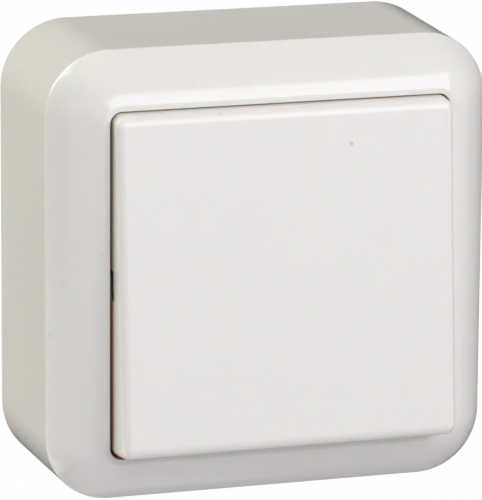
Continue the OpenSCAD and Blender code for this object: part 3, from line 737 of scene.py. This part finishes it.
def make_rocker(context):
    """Builds the rocker: a shell carried round its outline, with its face and its underside closed
    at a pole, a notch at mid height of both sides, and the rails and hooks that hold it."""
    sizes = context.scene.light_switch.rocker
    edge, corner = sizes.edge_rounding / MM, sizes.corner / MM
    face, end = sizes.face_depth / MM, (sizes.face_depth - sizes.skirt_depth) / MM
    half = ROCKER_HIGH.x / MM
    reach = half - corner
    notch = sizes.notch_width / 2 / MM / reach
    stops = np.sort(np.concatenate([
        np.linspace(-1, 1, 30)[1:-1], [-notch - 0.002, -notch, notch, notch + 0.002]]))
    centre, normal, along = square_round(stops, 14)
    inner = corner - SKIRT_T
    shrink = np.concatenate([np.linspace(0.06, 0.9, 12), 1 - 0.1 * 0.5 ** np.arange(1, 5), [1.0]])
    top = np.column_stack([reach * shrink, reach * shrink, (corner - edge) * shrink, np.full(len(shrink), face)])
    turn = np.linspace(0, math.pi / 2, 13)[1:]
    edge_rows = np.column_stack([
        np.full((len(turn), 2), reach), corner - edge + edge * np.sin(turn), face - edge + edge * np.cos(turn)])
    depth = np.linspace(face - edge, end + 0.2, 9)[1:]
    skirt = np.column_stack([
        np.full((len(depth), 2), reach), corner - ROCKER_DRAFT * (face - depth) / (face - end), depth])
    foot = np.array([
        [reach, reach, corner - ROCKER_DRAFT - 0.06, end + 0.06],
        [reach, reach, corner - ROCKER_DRAFT - 0.2, end],
        [reach, reach, inner - ROCKER_DRAFT + 0.2, end],
        [reach, reach, inner - ROCKER_DRAFT + 0.06, end + 0.06],
        [reach, reach, inner - ROCKER_DRAFT, end + 0.2],
        [reach, reach, inner, face - ROCKER_T - 0.3],
        [reach - 0.3, reach - 0.3, inner, face - ROCKER_T]])
    under = np.column_stack([
        np.outer(shrink[::-3], [reach - 0.5, reach - 0.5, inner]), np.full(len(shrink[::-3]), face - ROCKER_T)])
    rows = np.concatenate([top, edge_rows, skirt, foot, under])
    height = np.repeat(rows[:, 3:4], len(centre), 1)
    sideways = (np.abs(normal[:, 0]) > 0.99) & (np.abs(along) <= notch + 1e-9)
    notch_top = face - NOTCH_START
    first = len(top) + len(edge_rows)
    outer = slice(first - 1, first + len(skirt) + 5)
    squeezed = notch_top + (height[outer] - end) * (face - edge - notch_top) / (face - edge - end)
    height[outer] = np.where(sideways[None], squeezed, height[outer])
    # The top and bottom walls follow the swing; the side walls stand close to the window
    level = rows[:, 3]
    swing = np.minimum(SWING_OUT - SWING_LEAN * level, np.sqrt(SWING_R ** 2 - level ** 2)) - half
    share = np.append(shrink, np.ones(len(edge_rows) + len(skirt) + 2))
    rows[:len(share), 0] += share * SIDE_OUT
    rows[:len(share), 1] += share * swing[:len(share)]
    rows[len(share) + 3:, 1] -= INNER_IN * rows[len(share) + 3:, 1] / reach
    points = carried((rows[:, 0], rows[:, 1], rows[:, 2], height), centre, normal)
    shell = outward(*capped(points))
    plate = CARRIER_PLATE
    rails = [prism((x - 0.6, x + 0.6), (-RAIL_HALF, RAIL_HALF), (plate[1], face - ROCKER_T + 0.2))
             for x in (-RAIL_X, RAIL_X)]
    hooks = []
    for sx in (-1, 1):
        for sy in (-1, 1):
            wide = (sy * HOOK_Y - 1.5, sy * HOOK_Y + 1.5)
            leg = sorted((sx * (CARRIER_HALF_W + 0.15), sx * (CARRIER_HALF_W + 1.55)))
            catch = sorted((sx * (CARRIER_HALF_W - 0.7), sx * (CARRIER_HALF_W + 0.6)))
            low = plate[0] - 0.15
            hooks.append(prism(leg, wide, (low - 1, face - ROCKER_T + 0.2)))
            hooks.append(prism(catch, wide, (low - 1, low)))
    points, faces = joined([shell] + [outward(*block) for block in rails + hooks])
    placed = stood_up(tilted(points, sizes.resting_tilt, PIVOT_H))
    colours = context.scene.light_switch.finish
    satin = rocker_finish(colours.rocker_colour)
    piece = new_piece("rocker_moulding", placed, faces, satin)
    matt = np.zeros(len(points), np.float32)
    columns = len(centre)
    fade = np.concatenate([np.ones(len(top) - 3), [0.9, 0.5, 0.15]])
    matt[:len(fade) * columns] = np.repeat(fade, columns)
    matt[len(rows) * columns] = 1.0
    piece.data.attributes.new("matt_face", "FLOAT", "POINT").data.foreach_set("value", matt)
    # The skirt's outside, where the rocker's finish puts painted warm shade inside the window
    skirted = np.zeros(len(points), np.float32)
    skirted[first * columns:(first + len(skirt) + 2) * columns] = 1.0
    piece.data.attributes.new("skirt_outside", "FLOAT", "POINT").data.foreach_set("value", skirted)
    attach(piece, "rocker")
    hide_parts("rocker")
    return piece


def dusted(tree, colour, specks):
    """Darkens a colour in a few small round spots, given as point and radius in millimetres and
    strength."""
    place, share = tree.nodes["Texture Coordinate"].outputs["Object"], 0.0
    for point, radius, strength in specks:
        apart = put(tree, "ShaderNodeVectorMath", {0: place, 1: Vector(point) * MM}, operation="DISTANCE")
        spot = ramp(tree, apart.outputs["Value"], radius * MM, 0.0)
        share = math_node(tree, "MAXIMUM", share, math_node(tree, "MULTIPLY", spot, strength))
    return blend_colour(tree, share, colour, DUST)


def cover_finish(colour):
    """The cover's plastic: glossy, with painted warm shade on the walls of the window, a brown that
    stands in for the dim light in the gap, which has gone through plastic."""
    material = plastic("glossy white moulding", colour, 0.11, 0.10, 0.02, 0.25, 0.05, COVER_SOAK)
    tree = material.node_tree
    share = put(tree, "ShaderNodeAttribute", attribute_name="gap_shade_paint").outputs["Fac"]
    # Painted shade: the warm brown is blended in on the window's walls
    toned = blend_colour(tree, share, colour, PAINTED_GAP_SHADE_COLOUR)
    tree.links.new(dusted(tree, toned, COVER_SPECKS), tree.nodes["skin"].inputs["Plastic"])
    return material


def rocker_finish(colour):
    """The rocker's plastic: glossy on its round edges and skirt, finely grained on its face, with
    painted warm shade on the skirt where it stays inside the window.
    """
    material = plastic("finely matt white moulding", colour, 0.26, 1.0, 0.015, 0.2, 0.35, COVER_SOAK)
    tree = material.node_tree
    skin, relief = tree.nodes["skin"], tree.nodes["relief"]
    share = put(tree, "ShaderNodeAttribute", attribute_name="matt_face").outputs["Fac"]
    tree.links.new(math_node(tree, "ADD", 0.24, math_node(tree, "MULTIPLY", share, 0.24)), skin.inputs["Polish"])
    tree.links.new(math_node(tree, "MULTIPLY", share, 1.0), skin.inputs["Grain Share"])
    relief.inputs["Strength"].default_value = 0.3
    # Painted shade: warm brown where the window's walls stay in front of it at both ends of the swing
    place = put(tree, "ShaderNodeSeparateXYZ", {0: tree.nodes["Texture Coordinate"].outputs["Object"]})
    y, z = place.outputs[1], place.outputs[2]
    swung = math_node(tree, "SUBTRACT", math_node(tree, "MULTIPLY", math_node(
        tree, "ADD", y, PIVOT_H * MM), math.cos(SWING)), math_node(tree, "MULTIPLY", z, math.sin(SWING)))
    depth = math_node(tree, "MINIMUM", math_node(tree, "ADD", y, RIM_H * MM), math_node(
        tree, "ADD", swung, (RIM_H - PIVOT_H) * MM))
    skirt = put(tree, "ShaderNodeAttribute", attribute_name="skirt_outside").outputs["Fac"]
    inside = math_node(tree, "MULTIPLY", ramp(tree, depth, 0.0, 0.0004), skirt)
    toned = blend_colour(tree, inside, colour, PAINTED_GAP_SHADE_COLOUR)
    tree.links.new(dusted(tree, toned, ROCKER_SPECKS), skin.inputs["Plastic"])
    return material


# Sizes of the hidden parts that the visible pieces have to meet, in millimetres
LEDGE_TOP = 29.87
LEDGE_T = 2.0
LEDGE_OPEN = (44.0, 30.0)
OPEN_R = 2.0
WINDOW_T = 1.6
COVER_T = 2.2
KNOCKOUT = (18.0, 12.0, 0.9)
RIM_H = 37.4
SWING = math.radians(9)
COVER_SOAK = 0.5
# Painted shade: the warm brown of the gap round the rocker, put on the window's walls and on the rocker's skirt
# inside the window
PAINTED_GAP_SHADE_COLOUR = (0.82, 0.54, 0.27)
DUST = (0.30, 0.26, 0.22)
COVER_SPECKS = (
    ((-39.0, -32.3, 0.2), 0.5, 0.14), ((-40.8, -29.9, -9.9), 0.6, 0.25),
    ((-33.4, -37.1, 6.2), 0.45, 0.2), ((33.5, -37.0, 29.0), 0.9, 0.08),
    ((-35.6, -33.3, 35.6), 0.9, 0.08))
ROCKER_SPECKS = (((11.9, -40.9, 24.4), 0.55, 0.55), ((-12.5, -39.8, 30.9), 0.55, 0.22))
COVER_SCREWS = ((-27.6, 18.0), (27.6, -18.0))
HEAD_R = 3.0
SHANK_R = 1.7
PIVOT_H = 32.7
ROCKER_T = 2.2
SKIRT_T = 1.4
ROCKER_DRAFT = 0.2
# The walls of the rocker that pass the window's top and bottom edge: an arc round the turning axis
# near the face, and below it a straight lean that just clears the window when that side is pressed
SWING_R = 31.95
SWING_OUT = 31.75
SWING_LEAN = 0.0787
SIDE_OUT = 0.42
INNER_IN = 0.3
NOTCH_START = 5.7
CARRIER_PLATE = (0.8, 3.2)
CARRIER_HALF_W = 17.2
RAIL_X = 10.0
RAIL_HALF = 10.0
HOOK_Y = 7.5


def make_floor(depth):
    """A level disc far under the switch: radius and angle give its points, and it rises to a low
    round border so that it has a thickness."""
    radii = np.array([0.0, 1.0, 2.0, 2.4, 2.5, 2.5])
    heights = np.array([0.0, 0.0, 0.0, 0.0, -0.01, -0.03])
    angle = np.linspace(0, 2 * math.pi, 96, endpoint=False)
    points = np.stack([
        radii[:, None] * np.cos(angle), radii[:, None] * np.sin(angle),
        heights[:, None] - depth + 0 * angle], 2)[1:]
    flat, faces = capped(points)
    material = bpy.data.materials.new("pale floor paint")
    material.use_nodes = True
    tree = material.node_tree
    shader = tree.nodes["Principled BSDF"]
    place = tree.nodes.new("ShaderNodeTexCoord").outputs["Object"]
    cloud = noise(tree, place, 1.3, 3.0)
    tree.links.new(blend_colour(tree, cloud, (0.83, 0.83, 0.82), (0.87, 0.87, 0.86)), shader.inputs["Base Color"])
    relief = put(tree, "ShaderNodeBump", {
        "Strength": 0.1, "Distance": 0.001, "Height": noise(tree, place, 60.0, 3.0)})
    tree.links.new(relief.outputs["Normal"], shader.inputs["Normal"])
    shader.inputs["Roughness"].default_value = 0.7
    floor = new_piece("floor", flat, outward(flat, faces)[1], material)
    return floor


# Name, direction from the switch, distance, width, height, colour and radiance of each softbox
SOFTBOXES = [
    ("key_box", (0.296, -0.8045, 0.515), 1.3, 1.93, 1.21, (0.942, 0.952, 1.0), 3.24),
    ("rear_left_box", (-0.64, 0.51, 0.57), 1.3, 1.04, 1.04, (0.974, 1.0, 0.90), 4.42),
    ("low_left_box", (-0.67, 0.48, -0.56), 1.3, 0.82, 0.82, (1.0, 0.963, 0.762), 1.53),
    ("left_box", (-0.866, -0.1, -0.5), 1.3, 1.60, 0.745, (0.793, 0.839, 1.0), 0.69),
    ("left_front_box", (-0.85, -0.5, 0.1), 1.3, 0.9, 0.9, (1.0, 1.0, 1.0), 0.80),
    ("under_box", (-0.29, -0.43, -0.86), 1.1, 1.30, 1.30, (0.788, 0.758, 1.0), 0.415),
    ("under_left_box", (0.05, 0.25, -0.96), 1.3, 0.6, 0.55, (0.816, 0.863, 1.0), 0.34),
    ("right_box", (0.95, -0.2, -0.1), 1.3, 0.9, 0.9, (0.913, 0.867, 1.0), 0.45),
]


def make_softbox(name, direction, distance, width, height, colour, radiance):
    """A rectangular area light that looks at the switch. Its power is the radiance that it shows
    times its area times pi, so that the size can change and the look stays."""
    data = bpy.data.lights.new(name, "AREA")
    data.shape, data.size, data.size_y = "RECTANGLE", width, height
    data.color = colour
    data.energy = radiance * width * height * math.pi
    light = bpy.data.objects.new(name, data)
    bpy.context.scene.collection.objects.link(light)
    away = Vector(direction).normalized()
    light.matrix_world = Matrix.Translation(away * distance) @ away.to_track_quat("Z", "Y").to_matrix().to_4x4()
    light.visible_camera = False
    return light


def make_world(ambience):
    """Even light from all round for the switch, and plain white where the camera looks past it."""
    world = bpy.data.worlds.new("studio")
    bpy.context.scene.world = world
    world.use_nodes = True
    tree = world.node_tree
    tree.nodes.clear()
    seen = tree.nodes.new("ShaderNodeLightPath").outputs["Is Camera Ray"]
    around = put(tree, "ShaderNodeBackground", {"Color": (1.0, 0.85, 0.80, 1), "Strength": ambience})
    plain = put(tree, "ShaderNodeBackground", {"Color": (1, 1, 1, 1), "Strength": 1.0})
    mixed = put(tree, "ShaderNodeMixShader", {0: seen, 1: around.outputs[0], 2: plain.outputs[0]})
    put(tree, "ShaderNodeOutputWorld", {"Surface": mixed.outputs[0]})


def make_camera(studio):
    """The camera on a sphere round its aim, at an azimuth and elevation, rolled a little."""
    a, e, r = studio.azimuth, studio.elevation, studio.roll
    back = Vector((math.sin(a) * math.cos(e), -math.cos(a) * math.cos(e), math.sin(e)))
    right = (-back).cross(Vector((0, 0, 1))).normalized()
    up = right.cross(-back)
    rolled_right = math.cos(r) * right + math.sin(r) * up
    rolled_up = -math.sin(r) * right + math.cos(r) * up
    data = bpy.data.cameras.new("camera")
    data.lens, data.sensor_width = studio.lens, 36.0
    data.clip_start, data.clip_end = 0.05, 20.0
    camera = bpy.data.objects.new("camera", data)
    bpy.context.scene.collection.objects.link(camera)
    turn = Matrix((rolled_right, rolled_up, back)).transposed().to_4x4()
    camera.matrix_world = Matrix.Translation(Vector(studio.aim) + back * studio.distance) @ turn
    bpy.context.scene.camera = camera
    return camera


# Operators


class LIGHTSWITCH_OT_cover(Operator):
    """Build the glossy cover with its bezel, ledge and screw holes"""

    bl_idname = "light_switch.cover"
    bl_label = "Cover"

    def execute(self, context):
        make_cover(context)
        return {"FINISHED"}


class LIGHTSWITCH_OT_rocker(Operator):
    """Build the rocker with its matt face, skirt, rails and hooks"""

    bl_idname = "light_switch.rocker"
    bl_label = "Rocker"

    def execute(self, context):
        make_rocker(context)
        return {"FINISHED"}


class LIGHTSWITCH_OT_inner_mouldings(Operator):
    """Round the edges of the base, mechanism, lid and carrier and give them their plastics"""

    bl_idname = "light_switch.inner_mouldings"
    bl_label = "Base and mechanism"

    def execute(self, context):
        colours = context.scene.light_switch.finish
        light = plastic("plain light moulding", colours.base_colour, 0.38, 0.6, 0.05, 0.4, 0.2)
        white = plastic("plain white moulding", colours.lid_colour, 0.32, 0.5, 0.04, 0.3, 0.2)
        dark = plastic("dark thermoset", colours.block_colour, 0.34, 0.8, 0.25, 0.5, 0.3)
        for node, name, material, width, slot in (
                ("base", "base_tray", light, 0.00022, "base_plastic"),
                ("mechanism_body", "mechanism_block", dark, 0.0002, "dark_moulding"),
                ("mechanism_lid", "mechanism_cap", white, 0.00015, "white_matte"),
                ("rocker_carrier", "carrier_frame", white, 0.00015, "white_matte")):
            softened(node, name, material, width)
        return {"FINISHED"}


class LIGHTSWITCH_OT_contacts(Operator):
    """Give the strips, the see-saw contact, its tips, the plunger and the spring their metals"""

    bl_idname = "light_switch.contacts"
    bl_label = "Contacts and plunger"

    def execute(self, context):
        colours = context.scene.light_switch.finish
        brass = metal("bare brass", colours.brass_colour, (0.36, 0.22, 0.09), 0.45, 0.30)
        copper = metal("bare copper sheet", colours.copper_colour, (0.30, 0.14, 0.08), 0.4, 0.28)
        silver = metal("silver contact face", colours.silver_colour, (0.45, 0.42, 0.38), 0.3, 0.22)
        spring = metal("spring wire", colours.spring_colour, (0.25, 0.25, 0.26), 0.3, 0.25, 0.8)
        for material, nodes in (
                (brass, ("upper_contact_strip", "lower_contact_strip", "common_strip", "loop_strip")),
                (copper, ("moving_contact",)), (silver, ("fixed_contact_tips", "moving_contact_tips"))):
            for node in nodes:
                coat_node(node, material)
        merged_copy("plunger", "plunger_pin", brass, 0, 40)
        make_spring(spring)
        return {"FINISHED"}


class LIGHTSWITCH_OT_fasteners(Operator):
    """Give the screws and clamping plates their zinc plate"""

    bl_idname = "light_switch.fasteners"
    bl_label = "Screws and plates"

    def execute(self, context):
        colours = context.scene.light_switch.finish
        zinc = metal("zinc plate", colours.zinc_colour, (0.36, 0.37, 0.36), 0.4, 0.34)
        for node in ("cover_screws", "mechanism_screws", "lid_screws", "terminal_screws", "terminal_plates"):
            coat_node(node, zinc)
        return {"FINISHED"}


class LIGHTSWITCH_OT_studio(Operator):
    """Build the floor, the soft lights and the camera"""

    bl_idname = "light_switch.studio"
    bl_label = "Studio"

    def execute(self, context):
        studio = context.scene.light_switch.studio
        make_floor(studio.floor_depth)
        for box in SOFTBOXES:
            make_softbox(*box)
        make_world(studio.ambience)
        make_camera(studio)
        context.scene.view_settings.view_transform = "Standard"
        context.scene.view_settings.look = "None"
        return {"FINISHED"}


class LIGHTSWITCH_PT_panel(Panel):
    """Sizes, colours and build steps of the light switch"""

    bl_idname = "LIGHTSWITCH_PT_panel"
    bl_label = "Light Switch"
    bl_space_type = "VIEW_3D"
    bl_region_type = "UI"
    bl_category = "Light Switch"

    def draw(self, context):
        settings = context.scene.light_switch
        for label, group in (("Cover", settings.cover), ("Rocker", settings.rocker),
                             ("Finishes", settings.finish), ("Studio", settings.studio)):
            box = self.layout.box()
            box.label(text=label)
            for name in group.bl_rna.properties.keys():
                if name not in ("rna_type", "name"):
                    box.prop(group, name)
        for step in STEPS:
            self.layout.operator(step.bl_idname)


STEPS = (LIGHTSWITCH_OT_cover, LIGHTSWITCH_OT_rocker, LIGHTSWITCH_OT_inner_mouldings,
         LIGHTSWITCH_OT_contacts, LIGHTSWITCH_OT_fasteners, LIGHTSWITCH_OT_studio)
SETTINGS = (CoverSettings, RockerSettings, FinishSettings, StudioSettings, SwitchSettings)


def register():
    """Registers the settings, operators and panel."""
    for kind in (*SETTINGS, *STEPS, LIGHTSWITCH_PT_panel):
        bpy.utils.register_class(kind)
    bpy.types.Scene.light_switch = PointerProperty(type=SwitchSettings)


def unregister():
    """Removes what register() added."""
    del bpy.types.Scene.light_switch
    for kind in reversed((*SETTINGS, *STEPS, LIGHTSWITCH_PT_panel)):
        bpy.utils.unregister_class(kind)


def main():
    register()
    bpy.ops.light_switch.cover()
    bpy.ops.light_switch.rocker()
    bpy.ops.light_switch.inner_mouldings()
    bpy.ops.light_switch.contacts()
    bpy.ops.light_switch.fasteners()
    bpy.ops.light_switch.studio()


if __name__ == "__main__":
    main()
